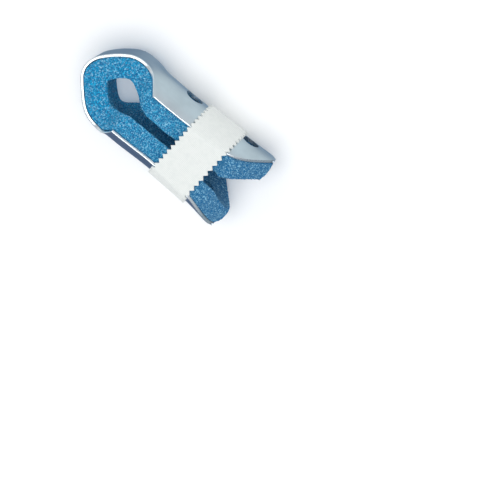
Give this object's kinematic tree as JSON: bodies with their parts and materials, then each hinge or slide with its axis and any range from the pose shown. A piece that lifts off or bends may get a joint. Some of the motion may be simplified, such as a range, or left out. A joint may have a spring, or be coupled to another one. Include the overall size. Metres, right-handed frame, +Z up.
{
  "type": "finger splint",
  "caption": "Fold-over finger splint: a foam-lined aluminium blank bent over the fingertip and bound with cloth tape, open at its sides and at the hand end.",
  "frame": {"origin": "centre of the splint's outline on the surface it lies on, under its lower side", "axes": "+X along the finger towards the hand, the closed nose of the fold at -X; +Y to the back of the finger; +Z up, from the side that it lies on to its other side"},
  "size_m": [0.0608, 0.0276, 0.026],
  "materials": {
    "aluminium": "satin rolled sheet, with bright sheared edges",
    "foam": "blue open-cell foam, cut faces speckled with small cells",
    "tape": "white woven cotton tape with pinked edges, matt"
  },
  "bodies": {
    "root": {"aluminium_shell": "aluminium", "foam_liner": "foam", "adhesive_tape": "tape"}
  },
  "joints": []
}
